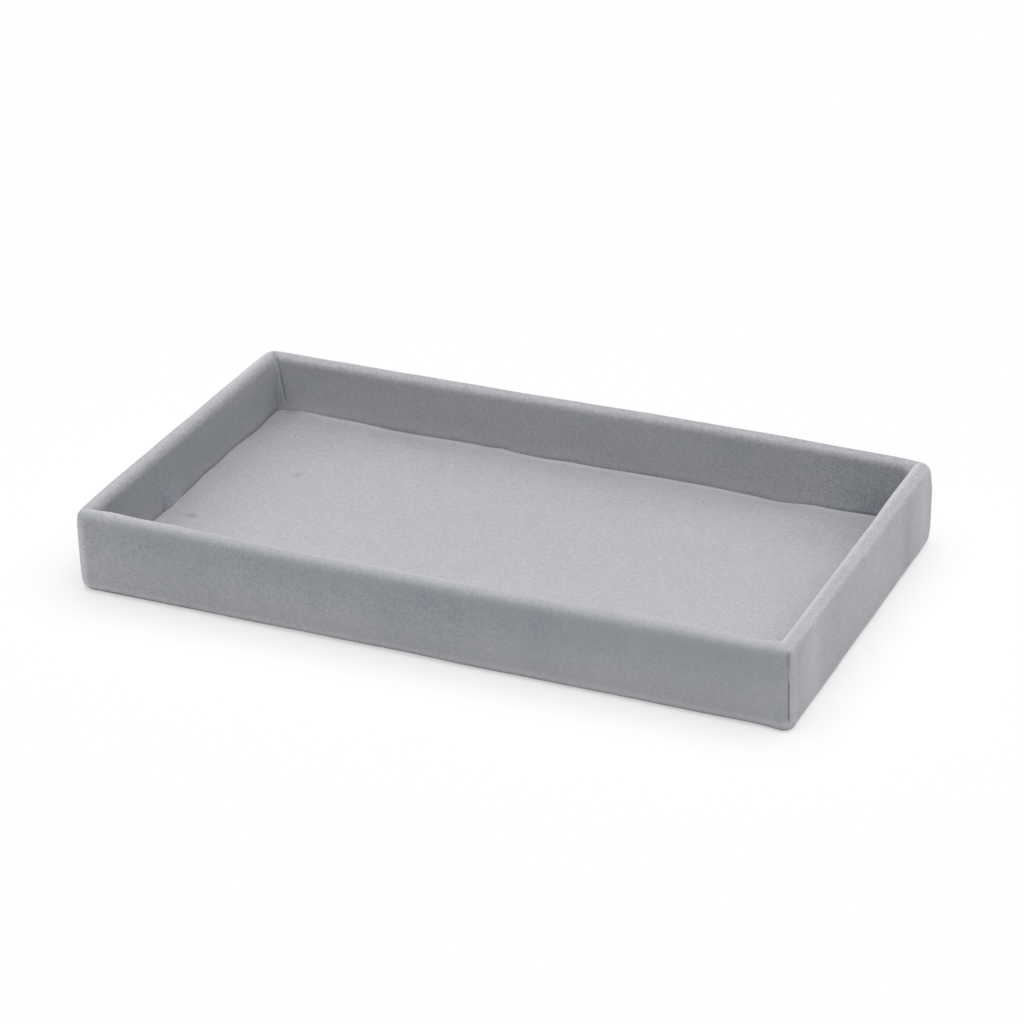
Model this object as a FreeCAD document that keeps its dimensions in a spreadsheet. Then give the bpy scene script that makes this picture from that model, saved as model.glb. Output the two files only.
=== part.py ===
import FreeCAD
import Part
import Sketcher
import math
import os

# Velvet-covered jewellery tray. Millimetres, +Z up, origin at the middle of the underside.
# X runs along the long walls and Y from the front wall to the rear wall.

SIZES = [
    ("tray_length", 210.0, "outside, over the velvet"),
    ("tray_width", 125.0, "outside, over the velvet"),
    ("tray_height", 25.0, "surface it stands on to the top of the rim"),
    ("corner_radius", 3.5, "outside upright corners, over the velvet"),
    ("velvet_thick", 1.0, "cloth with its pile"),
    ("board_thick", 3.0, "wall rails"),
    ("rim_round", 2.35, "rim edges, over the velvet"),
    ("base_thick", 2.0, "base board"),
    ("base_round", 1.5, "lower edge of the base board, under the velvet"),
    ("turn_under", 12.0, "wall velvet turned under the base, from the outside"),
    ("liner_thick", 0.4, "sheet on the underside"),
    ("liner_inset", 3.0, "edge of the liner, in from the outside"),
    ("liner_gap", 0.5, "liner step to the cut ends of the velvet"),
    ("card_thick", 1.5, "card in the floor pad"),
    ("pad_gap", 0.3, "pad edge to the wall velvet"),
    ("pad_corner", 2.2, "upright corners of the pad"),
    ("pad_edge_round", 0.7, "top edge of the pad"),
    ("pad_flap", 9.0, "pad velvet turned under its card, from the pad edge"),
    ("pin_diameter", 0.8, "headless pins"),
    ("pin_length", 12.0, "headless pins, with the point"),
    ("pin_point", 1.2, "length of the point"),
    ("pin_sink", 0.3, "pin end below the board's face"),
    ("corner_pin_edge", 5.0, "corner pins, in from the rail's top and bottom"),
    ("base_pin_edge", 18.0, "outermost base pins, in from the tray's ends"),
]
LONG_RAIL_PIN_COUNT = 4
SHORT_RAIL_PIN_COUNT = 2

doc = FreeCAD.newDocument("jewelry_tray")
sheet = doc.addObject("Spreadsheet::Sheet", "sizes")
for row, (alias, number, words) in enumerate(SIZES, 1):
    sheet.set(f"A{row}", alias)
    sheet.set(f"B{row}", str(number))
    sheet.setAlias(f"B{row}", alias)
    sheet.set(f"C{row}", words)
doc.recompute()

# Sizes that follow from the cells, as expressions
WALL = "(sizes.board_thick + 2 * sizes.velvet_thick)"
HALF_LENGTH = "(sizes.tray_length / 2)"
HALF_WIDTH = "(sizes.tray_width / 2)"
CORE_LENGTH = "(sizes.tray_length / 2 - sizes.velvet_thick)"
CORE_WIDTH = "(sizes.tray_width / 2 - sizes.velvet_thick)"
CORE_RADIUS = "max(sizes.corner_radius - sizes.velvet_thick; 0.3)"
CORE_TOP = "(sizes.tray_height - sizes.velvet_thick)"
FLAP_LEVEL = "sizes.liner_thick"
BASE_LEVEL = "(sizes.liner_thick + sizes.velvet_thick)"
RAIL_LEVEL = "(sizes.liner_thick + sizes.velvet_thick + sizes.base_thick)"
CARD_LEVEL = f"({RAIL_LEVEL} + sizes.velvet_thick)"
PAD_HEIGHT = "(2 * sizes.velvet_thick + sizes.card_thick)"
PAD_LENGTH = f"({HALF_LENGTH} - {WALL} - sizes.pad_gap)"
PAD_WIDTH = f"({HALF_WIDTH} - {WALL} - sizes.pad_gap)"

# A rounding stays inside the wall that carries it and inside the corner it runs round
RIM_ROUND = f"min(sizes.rim_round; 0.48 * {WALL}; sizes.corner_radius - 0.2)"
CORE_ROUND = (f"max(0.2; min({RIM_ROUND} - sizes.velvet_thick; 0.45 * sizes.board_thick;"
              f" {CORE_RADIUS} - 0.1))")
BASE_ROUND = f"min(sizes.base_round; {CORE_RADIUS} - 0.2; 0.85 * sizes.base_thick)"
FOOT_ROUND = f"({BASE_ROUND} + sizes.velvet_thick)"
PAD_ROUND = "min(sizes.pad_edge_round; sizes.pad_corner - 0.1; 1.2 * sizes.velvet_thick)"
CARD_CORNER = "max(sizes.pad_corner - sizes.velvet_thick; 0.3)"

# Each wall is drawn as the front one and turned into place: turn, half along, half across
SIDES = {
    "front": (0.0, "length", "width"),
    "right": (90.0, "width", "length"),
    "rear": (180.0, "length", "width"),
    "left": (270.0, "width", "length"),
}


def value(expression):
    """Number that an expression of the sheet comes to."""
    return float(sheet.evalExpression(expression))


def plane(body, role):
    """Origin plane of a body."""
    return next(item for item in body.Origin.OriginFeatures if item.Role == role)


def new_sketch(body, name, role, level=None):
    """Sketch on one of the body's origin planes, raised to a level along its normal."""
    sketch = body.newObject("Sketcher::SketchObject", name)
    sketch.AttachmentSupport = (plane(body, role), [""])
    sketch.MapMode = "FlatFace"
    if level is not None:
        sketch.setExpression("AttachmentOffset.Base.z", level)
    return sketch


def dimension(sketch, name, expression, *constraint):
    """Driving constraint bound to an expression."""
    index = sketch.addConstraint(Sketcher.Constraint(*constraint, value(expression)))
    sketch.renameConstraint(index, name)
    sketch.setExpression(f"Constraints.{name}", expression)


def join_ends(sketch, count):
    """Closes a chain of lines and arcs, each one's end on the next one's start."""
    for index in range(count):
        sketch.addConstraint(Sketcher.Constraint("Coincident", index, 2, (index + 1) % count, 1))


def line(start, end):
    return Part.LineSegment(FreeCAD.Vector(*start, 0), FreeCAD.Vector(*end, 0))


def arc(centre, radius, first, last):
    circle = Part.Circle(FreeCAD.Vector(*centre, 0), FreeCAD.Vector(0, 0, 1), radius)
    return Part.ArcOfCircle(circle, math.radians(first), math.radians(last))


def mitred_plan(body, name, level, half_along, half_across, radius, depth):
    """Plan of one wall: straight outside, half of each rounded corner, mitres, straight inside."""
    along, across, rad, deep = (value(item) for item in (half_along, half_across, radius, depth))
    lean = rad * math.sqrt(0.5)
    right = (along - rad, rad - across)
    left = (rad - along, rad - across)
    tip = (right[0] + lean, right[1] - lean)
    inner = (along - deep, deep - across)
    sketch = new_sketch(body, name, "XY_Plane", level)
    sketch.addGeometry([
        line((left[0], -across), (right[0], -across)),
        arc(right, rad, -90, -45),
        line(tip, inner),
        line(inner, (-inner[0], inner[1])),
        line((-inner[0], inner[1]), (-tip[0], tip[1])),
        arc(left, rad, 225, 270),
    ])
    join_ends(sketch, 6)
    sketch.addConstraint(Sketcher.Constraint("Equal", 1, 5))
    sketch.addConstraint(Sketcher.Constraint("Symmetric", 1, 3, 5, 3, -2))
    sketch.addConstraint(Sketcher.Constraint("Symmetric", 2, 2, 4, 1, -2))
    sketch.addConstraint(Sketcher.Constraint("Vertical", 1, 3, 1, 1))
    sketch.addConstraint(Sketcher.Constraint("Vertical", 5, 3, 5, 2))
    sketch.addConstraint(Sketcher.Constraint("PointOnObject", 1, 3, 2))
    sketch.addConstraint(Sketcher.Constraint("PointOnObject", 5, 3, 4))
    dimension(sketch, "corner", radius, "Radius", 1)
    dimension(sketch, "along", f"{half_along} - {radius}", "DistanceX", -1, 1, 1, 3)
    dimension(sketch, "across", half_across, "DistanceY", 0, 2, -1, 1)
    dimension(sketch, "inner_along", f"{half_along} - {depth}", "DistanceX", -1, 1, 2, 2)
    dimension(sketch, "inner_across", f"{half_across} - {depth}", "DistanceY", 2, 2, -1, 1)
    return sketch


def rounded_plan(body, name, level, half_x, half_y, radius):
    """Rectangle with rounded corners about the body's origin."""
    wide, deep, rad = (value(item) for item in (half_x, half_y, radius))
    far, up = wide - rad, deep - rad
    sketch = new_sketch(body, name, "XY_Plane", level)
    sketch.addGeometry([
        line((-far, -deep), (far, -deep)),
        arc((far, -up), rad, 270, 360),
        line((wide, -up), (wide, up)),
        arc((far, up), rad, 0, 90),
        line((far, deep), (-far, deep)),
        arc((-far, up), rad, 90, 180),
        line((-wide, up), (-wide, -up)),
        arc((-far, -up), rad, 180, 270),
    ])
    for index in range(8):
        sketch.addConstraint(Sketcher.Constraint("Tangent", index, 2, (index + 1) % 8, 1))
    for index in (3, 5, 7):
        sketch.addConstraint(Sketcher.Constraint("Equal", 1, index))
    for index in (0, 4):
        sketch.addConstraint(Sketcher.Constraint("Horizontal", index))
    for index in (2, 6):
        sketch.addConstraint(Sketcher.Constraint("Vertical", index))
    sketch.addConstraint(Sketcher.Constraint("Symmetric", 1, 3, 5, 3, -1, 1))
    dimension(sketch, "corner", radius, "Radius", 1)
    dimension(sketch, "half_x", f"{half_x} - {radius}", "DistanceX", -1, 1, 3, 3)
    dimension(sketch, "half_y", f"{half_y} - {radius}", "DistanceY", -1, 1, 3, 3)
    return sketch


def pad(body, name, sketch, length):
    feature = body.newObject("PartDesign::Pad", name)
    feature.Profile = sketch
    feature.setExpression("Length", length)
    doc.recompute()
    return feature


def fillet(body, name, base, chosen, radius):
    """Rounds the edges of a feature that a test picks out."""
    names = [f"Edge{number}" for number, edge in enumerate(base.Shape.Edges, 1) if chosen(edge)]
    feature = body.newObject("PartDesign::Fillet", name)
    feature.Base = (base, names)
    feature.setExpression("Radius", radius)
    doc.recompute()
    return feature


def level_edge(edge, level):
    """Whether an edge lies flat at a level."""
    return all(abs(vertex.Z - level) < 1e-6 for vertex in edge.Vertexes)


def round_inside(body, name, half_across, depth, top, radius):
    """Cuts the rim's inside edge to a quarter round, straight along the wall."""
    face, crown, rad = -value(f"{half_across} - {depth}"), value(top), value(radius)
    clear = 2.0
    sketch = new_sketch(body, f"{name}_sketch", "YZ_Plane")
    sketch.addGeometry([
        arc((face - rad, crown - rad), rad, 0, 90),
        line((face - rad, crown), (face - rad, crown + clear)),
        line((face - rad, crown + clear), (face + clear, crown + clear)),
        line((face + clear, crown + clear), (face + clear, crown - rad)),
        line((face + clear, crown - rad), (face, crown - rad)),
    ])
    sketch.addConstraint(Sketcher.Constraint("Coincident", 0, 2, 1, 1))
    for index in (1, 2, 3):
        sketch.addConstraint(Sketcher.Constraint("Coincident", index, 2, index + 1, 1))
    sketch.addConstraint(Sketcher.Constraint("Coincident", 4, 2, 0, 1))
    for index in (1, 3):
        sketch.addConstraint(Sketcher.Constraint("Vertical", index))
    for index in (2, 4):
        sketch.addConstraint(Sketcher.Constraint("Horizontal", index))
    sketch.addConstraint(Sketcher.Constraint("Horizontal", 0, 3, 0, 1))
    sketch.addConstraint(Sketcher.Constraint("Vertical", 0, 3, 0, 2))
    dimension(sketch, "round", radius, "Radius", 0)
    dimension(sketch, "face", f"{half_across} - {depth}", "DistanceX", 0, 1, -1, 1)
    dimension(sketch, "crown", top, "DistanceY", -1, 1, 0, 2)
    sketch.addConstraint(Sketcher.Constraint("DistanceY", 1, 1, 1, 2, clear))
    sketch.addConstraint(Sketcher.Constraint("DistanceX", 4, 2, 4, 1, clear))
    feature = body.newObject("PartDesign::Pocket", name)
    feature.Profile = sketch
    feature.Type = "ThroughAll"
    feature.SideType = "Symmetric"
    doc.recompute()
    return feature


def wall_body(name, side, length, width, radius, depth, bottom, top, rim, flap=None, foot=None):
    """One wall between its two mitres, with a rounded rim and, for cloth, a flap under the base."""
    turn, along_key, across_key = SIDES[side]
    halves = {"length": length, "width": width}
    half_along, half_across = halves[along_key], halves[across_key]
    body = doc.addObject("PartDesign::Body", name)
    upright = mitred_plan(body, f"{name}_plan", bottom, half_along, half_across, radius, depth)
    tip = pad(body, f"{name}_pad", upright, f"{top} - {bottom}")
    if flap:
        under = mitred_plan(body, f"{name}_flap_plan", bottom, half_along, half_across, radius, flap)
        tip = pad(body, f"{name}_flap", under, "sizes.velvet_thick")
    outer = -value(half_across)

    def outside(edge, level):
        middle = edge.CenterOfMass
        curved = isinstance(edge.Curve, Part.Circle)
        return level_edge(edge, level) and (curved or abs(middle.y - outer) < 1e-6)

    tip = fillet(body, f"{name}_rim", tip, lambda edge: outside(edge, value(top)), rim)
    if foot:
        tip = fillet(body, f"{name}_foot", tip, lambda edge: outside(edge, value(bottom)), foot)
    body.Tip = round_inside(body, f"{name}_rim_inside", half_across, depth, top, rim)
    body.Placement.Rotation = FreeCAD.Rotation(FreeCAD.Vector(0, 0, 1), turn)
    doc.recompute()
    return body


def cut(name, base, tool):
    feature = doc.addObject("Part::Cut", name)
    feature.Base = base
    feature.Tool = tool
    feature.Refine = True
    return feature


def pin(name, turn, position):
    """Headless pin: a shank with a cone point, standing on its blunt end, turned and set in place."""
    shank = doc.addObject("Part::Cylinder", f"{name}_shank")
    shank.setExpression("Radius", "sizes.pin_diameter / 2")
    shank.setExpression("Height", "sizes.pin_length - sizes.pin_point")
    point = doc.addObject("Part::Cone", f"{name}_point")
    point.setExpression("Radius1", "sizes.pin_diameter / 2")
    point.setExpression("Radius2", "sizes.pin_diameter / 8")
    point.setExpression("Height", "sizes.pin_point")
    point.setExpression("Placement.Base.z", "sizes.pin_length - sizes.pin_point")
    whole = doc.addObject("Part::Fuse", name)
    whole.Base = shank
    whole.Tool = point
    whole.Refine = True
    whole.Placement.Rotation = FreeCAD.Rotation(FreeCAD.Vector(1, 0, 0), turn)
    for axis, expression in zip("xyz", position):
        whole.setExpression(f"Placement.Base.{axis}", expression)
    return whole


def group(name, members):
    feature = doc.addObject("Part::Compound", name)
    feature.Links = members
    return feature


# Pins: two through each mitre from the long rails, and a row up through the base into each rail
CORNER_REACH = f"max(0; {CORE_RADIUS} - sizes.board_thick / 2 + sizes.pin_diameter / 2)"
CORNER_DEPTH = f"({CORE_RADIUS} - sqrt(max(0; {CORE_RADIUS} ^ 2 - {CORNER_REACH} ^ 2)) + sizes.pin_sink)"
corner_members = []
for side_x in (-1, 1):
    for side_y in (-1, 1):
        for tier, height in (("low", f"{RAIL_LEVEL} + sizes.corner_pin_edge"),
                             ("high", f"{CORE_TOP} - sizes.corner_pin_edge")):
            place = (f"{side_x} * ({CORE_LENGTH} - sizes.board_thick / 2)",
                     f"{side_y} * ({CORE_WIDTH} - {CORNER_DEPTH})",
                     height)
            label = f"corner_pin_{len(corner_members) + 1}_{tier}"
            corner_members.append(pin(label, 90.0 * side_y, place))
corner_pins = group("corner_pins", corner_members)

base_members = []
pin_level = f"{BASE_LEVEL} + sizes.pin_sink"
for sign in (-1, 1):
    for count, half, other, lengthwise in ((LONG_RAIL_PIN_COUNT, HALF_LENGTH, CORE_WIDTH, True),
                                           (SHORT_RAIL_PIN_COUNT, HALF_WIDTH, CORE_LENGTH, False)):
        for index in range(count):
            share = 2 * index / (count - 1) - 1
            run = f"{share} * ({half} - sizes.base_pin_edge)"
            cross = f"{sign} * ({other} - sizes.board_thick / 2)"
            place = (run, cross, pin_level) if lengthwise else (cross, run, pin_level)
            base_members.append(pin(f"base_pin_{len(base_members) + 1}", 0.0, place))
base_pins = group("base_pins", base_members)

# Base board, as large as the rails that stand on it, with its lower edge rounded for the velvet
base_blank = doc.addObject("PartDesign::Body", "base_blank")
base_plan = rounded_plan(base_blank, "base_plan", BASE_LEVEL, CORE_LENGTH, CORE_WIDTH, CORE_RADIUS)
base_pad = pad(base_blank, "base_pad", base_plan, "sizes.base_thick")
base_foot = value(BASE_LEVEL)
base_blank.Tip = fillet(base_blank, "base_edge", base_pad, lambda edge: level_edge(edge, base_foot),
                        BASE_ROUND)
nodes = {"base_board": cut("base_board", base_blank, base_pins)}

# Rails and the velvet strip over each one
for side in SIDES:
    blank = wall_body(f"{side}_blank", side, CORE_LENGTH, CORE_WIDTH, CORE_RADIUS, "sizes.board_thick",
                      RAIL_LEVEL, CORE_TOP, CORE_ROUND)
    form = wall_body(f"{side}_form", side, HALF_LENGTH, HALF_WIDTH, "sizes.corner_radius", WALL,
                     FLAP_LEVEL, "sizes.tray_height", RIM_ROUND, "sizes.turn_under", FOOT_ROUND)
    bored = cut(f"{side}_bored", blank, corner_pins)
    nodes[f"{side}_rail"] = cut(f"{side}_rail", bored, base_pins)
    hollow = cut(f"{side}_hollow", form, blank)
    nodes[f"{side}_velvet"] = cut(f"{side}_velvet", hollow, base_blank)
nodes["corner_pins"] = corner_pins
nodes["base_pins"] = base_pins

# Floor pad: a card wrapped in velvet, turned under it and open in the middle of the back
card = doc.addObject("PartDesign::Body", "pad_card")
card_plan = rounded_plan(card, "card_plan", CARD_LEVEL, f"{PAD_LENGTH} - sizes.velvet_thick",
                         f"{PAD_WIDTH} - sizes.velvet_thick", CARD_CORNER)
card.Tip = pad(card, "card_pad", card_plan, "sizes.card_thick")
nodes["pad_card"] = card

wrap = doc.addObject("PartDesign::Body", "pad_wrap")
wrap_plan = rounded_plan(wrap, "wrap_plan", RAIL_LEVEL, PAD_LENGTH, PAD_WIDTH, "sizes.pad_corner")
wrap_pad = pad(wrap, "wrap_pad", wrap_plan, PAD_HEIGHT)
wrap_top = value(f"{RAIL_LEVEL} + {PAD_HEIGHT}")
wrap_round = fillet(wrap, "wrap_round", wrap_pad, lambda edge: level_edge(edge, wrap_top), PAD_ROUND)
window_plan = rounded_plan(wrap, "window_plan", RAIL_LEVEL, f"{PAD_LENGTH} - sizes.pad_flap",
                           f"{PAD_WIDTH} - sizes.pad_flap", "sizes.pad_corner")
window = wrap.newObject("PartDesign::Pocket", "window")
window.Profile = window_plan
window.Reversed = True
window.setExpression("Length", "sizes.velvet_thick")
wrap.Tip = window
nodes["pad_velvet"] = cut("pad_velvet", wrap, card)

# Liner: flat under the velvet ends, stepped up to the base between them
liner = doc.addObject("PartDesign::Body", "bottom_liner")
liner_plan = rounded_plan(liner, "liner_plan", "0 * sizes.liner_thick",
                          f"{HALF_LENGTH} - sizes.liner_inset", f"{HALF_WIDTH} - sizes.liner_inset",
                          "sizes.corner_radius")
pad(liner, "liner_sheet", liner_plan, "sizes.liner_thick")
STEP_LENGTH = f"({HALF_LENGTH} - sizes.turn_under - sizes.liner_gap)"
STEP_WIDTH = f"({HALF_WIDTH} - sizes.turn_under - sizes.liner_gap)"
step_plan = rounded_plan(liner, "step_plan", "0 * sizes.liner_thick", STEP_LENGTH, STEP_WIDTH,
                         "sizes.corner_radius")
pad(liner, "liner_step", step_plan, "sizes.liner_thick + sizes.velvet_thick")
hollow_plan = rounded_plan(liner, "hollow_plan", "0 * sizes.liner_thick",
                           f"{STEP_LENGTH} - sizes.liner_thick", f"{STEP_WIDTH} - sizes.liner_thick",
                           "max(sizes.corner_radius - sizes.liner_thick; 0.3)")
hollow = liner.newObject("PartDesign::Pocket", "liner_hollow")
hollow.Profile = hollow_plan
hollow.Reversed = True
hollow.setExpression("Length", "sizes.velvet_thick")
liner.Tip = hollow
nodes["bottom_liner"] = liner

doc.recompute()

# Every object has to be sound before anything is written
for item in doc.Objects:
    if "Invalid" in item.State or "Error" in item.State:
        raise RuntimeError(f"{item.Label} did not build")
os.makedirs("parts", exist_ok=True)
for node, item in nodes.items():
    item.Label = node
    if item.Shape.isNull() or not item.Shape.isValid():
        raise RuntimeError(f"{node} has no valid shape")
    item.Shape.exportStep(os.path.join("parts", f"{node}.step"))
    print(node, len(item.Shape.Solids), "solids", round(item.Shape.Volume, 2), "mm3")
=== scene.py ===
"""Looks of a grey velvet jewelry tray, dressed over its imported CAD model."""
import math

import bpy
import numpy as np
from mathutils import Matrix, Vector


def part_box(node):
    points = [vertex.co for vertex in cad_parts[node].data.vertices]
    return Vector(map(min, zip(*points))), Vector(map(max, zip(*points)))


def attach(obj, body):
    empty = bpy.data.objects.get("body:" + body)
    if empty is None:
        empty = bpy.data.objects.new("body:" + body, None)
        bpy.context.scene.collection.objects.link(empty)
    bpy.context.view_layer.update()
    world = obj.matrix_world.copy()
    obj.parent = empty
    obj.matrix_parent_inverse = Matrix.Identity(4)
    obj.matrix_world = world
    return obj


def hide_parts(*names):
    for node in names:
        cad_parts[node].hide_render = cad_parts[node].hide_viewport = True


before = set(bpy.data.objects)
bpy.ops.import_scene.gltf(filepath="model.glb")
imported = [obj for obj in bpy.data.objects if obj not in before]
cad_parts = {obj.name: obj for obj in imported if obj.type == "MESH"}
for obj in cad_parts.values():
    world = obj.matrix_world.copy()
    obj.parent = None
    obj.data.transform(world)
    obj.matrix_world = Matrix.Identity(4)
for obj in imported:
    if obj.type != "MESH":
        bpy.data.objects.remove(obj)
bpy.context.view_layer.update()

MM = 0.001

# Sizes of the tray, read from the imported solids
strip_low, strip_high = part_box("front_velvet")
rail_low, rail_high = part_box("front_rail")
pad_low, pad_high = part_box("pad_velvet")
liner_low, liner_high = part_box("bottom_liner")
HALF_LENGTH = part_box("right_velvet")[1].x
HALF_WIDTH = -strip_low.y
HEIGHT = strip_high.z
UNDERSIDE = strip_low.z
RAIL_LEVEL = rail_low.z
CLOTH = rail_low.y - strip_low.y
WALL = rail_high.y - rail_low.y + 2 * CLOTH
TURN_UNDER = strip_high.y - strip_low.y

# Roundings of the velvet, as in the solids
CORNER = 3.5 * MM
RIM = 2.35 * MM
FOOT = 2.5 * MM

# Thickness of each sheet as it is shown, under that of its solid
WALL_LAYER = 0.95 * CLOTH
PAD_LAYER = 0.35 * MM
LINER_LAYER = 0.36 * MM

# The wall velvet stays this far above level zero, and the studio floor lies as far below it
GROUND_GAP = 0.02 * MM

# Folds sharper than this many degrees keep a sharp edge
SHARP_FOLD = 50


# Soft shapes

def smooth(value, low, high):
    """0 below low, 1 above high, and a soft slope between."""
    share = np.clip((value - low) / (high - low), 0.0, 1.0)
    return share * share * (3.0 - 2.0 * share)


def fade(value, low, high):
    """1 below low, 0 above high, and a soft slope between."""
    return 1 - smooth(value, low, high)


def hump(value, centre, width):
    """A soft bump that is 1 at the centre."""
    return np.exp(-(((value - centre) / width) ** 2))


def bands(value, *humps):
    """A row of soft bumps, each given as centre and width in mm and amount."""
    return sum(amount * hump(value, centre * MM, width * MM) for centre, width, amount in humps)


DRIFT_WAVES = 9
DRIFT_SWING = 3.5


def drift(along, across, size, seed):
    """Hand-made unevenness, about -1 to 1, that turns over in about one size."""
    dice = np.random.RandomState(seed)
    total = np.zeros_like(along)
    for _ in range(DRIFT_WAVES):
        turn = dice.uniform(0.0, 2.0 * math.pi)
        pace = 2.0 * math.pi / (size * dice.uniform(0.8, 2.0))
        start = dice.uniform(0.0, 2.0 * math.pi)
        total += np.sin(pace * (along * math.cos(turn) + across * math.sin(turn)) + start)
    return total / DRIFT_SWING


# Handling of the sheets

def nothing_selected():
    if bpy.context.object is not None and bpy.context.object.mode != "OBJECT":
        bpy.ops.object.mode_set(mode="OBJECT")
    bpy.ops.object.select_all(action="DESELECT")


def pick(piece):
    """Select one piece alone, as the active one."""
    nothing_selected()
    piece.select_set(True)
    bpy.context.view_layer.objects.active = piece


def vertex_values(piece, kind):
    values = np.empty(len(piece.data.vertices) * 3, np.float32)
    piece.data.vertices.foreach_get(kind, values)
    return values.reshape(-1, 3).astype(float)


def points_of(piece):
    return vertex_values(piece, "co")


def put_points(piece, place):
    piece.data.vertices.foreach_set("co", place.astype(np.float32).ravel())
    piece.data.update()


def thicken(piece, thickness):
    """Give a single layer of cloth its thickness behind its face."""
    layer = piece.modifiers.new("cloth_thickness", "SOLIDIFY")
    layer.thickness = thickness
    layer.offset = -1.0
    layer.use_rim = True
    pick(piece)
    bpy.ops.object.modifier_apply(modifier=layer.name)


def turn_over(piece):
    """Make the faces of a sheet look the other way."""
    pick(piece)
    bpy.ops.object.mode_set(mode="EDIT")
    bpy.ops.mesh.select_all(action="SELECT")
    bpy.ops.mesh.flip_normals()
    bpy.ops.object.mode_set(mode="OBJECT")


def smooth_faces(piece):
    pick(piece)
    bpy.ops.object.shade_smooth_by_angle(angle=math.radians(SHARP_FOLD))


def lay_pile_and_light(piece, **layers):
    """How the pile lies, with painted light and shade, as layers by name: the nap, above 0, shows
    its pale tips and below 0 the deeper ground, and carries painted highlights and painted shade as
    well; coarse is 1 where it stands as cut, less where it is brushed smooth; the tint of the light
    is a painted tint, leaning the grey to blue in shade and, below 0, to red where lit. A layer
    that is left out counts as 0."""
    for name, values in layers.items():
        layer = piece.data.attributes.new(name, "FLOAT", "POINT")
        layer.data.foreach_set("value", values.astype(np.float32))


def flat_blank(name, columns, rows):
    """A flat cloth of so many columns and rows, and each point's column and row."""
    nothing_selected()
    bpy.ops.mesh.primitive_grid_add(x_subdivisions=columns, y_subdivisions=rows, size=2.0)
    cloth = bpy.context.object
    cloth.name = cloth.data.name = name
    place = points_of(cloth)
    column = np.rint((place[:, 0] + 1.0) / 2.0 * columns).astype(int)
    row = np.rint((place[:, 1] + 1.0) / 2.0 * rows).astype(int)
    return cloth, column, row


def spaced(length, end_steps, step):
    """Positions from 0 to length, closer together at both ends by stretches of length and step."""
    start = [0.0]
    for stretch, fine_step in end_steps:
        start.extend(start[-1] + np.linspace(0.0, stretch, round(stretch / fine_step) + 1)[1:])
    start = np.array(start)
    wide = round((length - 2 * start[-1]) / step)
    middle = np.linspace(start[-1], length - start[-1], wide + 1)
    return np.concatenate([start[:-1], middle, length - start[-2::-1]])


# Wall velvet: one strip to each wall

# Points along each stretch of the velvet's line over a wall
UNDER_POINTS = 15
FOOT_POINTS = 9
FACE_POINTS = 35
RIM_POINTS = 13
INSIDE_POINTS = 31

# Points nearer than this are one
SAME_POINT = 0.001 * MM


def strip_profile():
    """Line of the velvet over a wall: out from the outside face, up, and length along it."""
    top = HEIGHT - RIM
    foot = np.radians(np.linspace(-90.0, 0.0, FOOT_POINTS))
    quarter = np.radians(np.linspace(0.0, 90.0, RIM_POINTS))
    stretches = (
        (np.linspace(-TURN_UNDER, -FOOT, UNDER_POINTS), np.full(UNDER_POINTS, UNDERSIDE)),
        (-FOOT + FOOT * np.cos(foot), UNDERSIDE + FOOT + FOOT * np.sin(foot)),
        (np.zeros(FACE_POINTS), np.linspace(UNDERSIDE + FOOT, top, FACE_POINTS)),
        (-RIM + RIM * np.cos(quarter), top + RIM * np.sin(quarter)),
        (RIM - WALL - RIM * np.sin(quarter), top + RIM * np.cos(quarter)),
        (np.full(INSIDE_POINTS, -WALL), np.linspace(top, RAIL_LEVEL, INSIDE_POINTS)),
    )
    line = np.concatenate([np.stack(stretch, 1) for stretch in stretches])
    steps = np.hypot(*np.diff(line, axis=0).T)
    new_point = np.append(True, steps > SAME_POINT)
    run = np.append(0.0, np.cumsum(steps))
    return line[new_point, 0], line[new_point, 1], run[new_point]


PROFILE_OUT, PROFILE_UP, PROFILE_RUN = strip_profile()

# Places on that line, counted from its end under the base
FACE_START = TURN_UNDER - FOOT + FOOT * math.pi / 2
FACE_END = FACE_START + HEIGHT - RIM - UNDERSIDE - FOOT
RIM_MIDDLE = FACE_END + RIM * math.pi / 2 + (WALL - 2 * RIM) / 2
INSIDE_START = 2 * RIM_MIDDLE - FACE_END
FOOT_RUN = FACE_START - FOOT * math.pi / 4
FACE_RUN = (FACE_START + FACE_END) / 2
CROWN_RUN = FACE_END + RIM * math.pi / 4

# Spacing of the cross lines of a strip: in stretches at both ends, and between them
STRIP_END_STEPS = ((2.4 * MM, 0.12 * MM), (7.2 * MM, 0.30 * MM))
STRIP_STEP = 0.9 * MM

# The cross lines turn from square to the slope of the mitre over this length
FAN_OUT = 14 * MM


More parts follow.
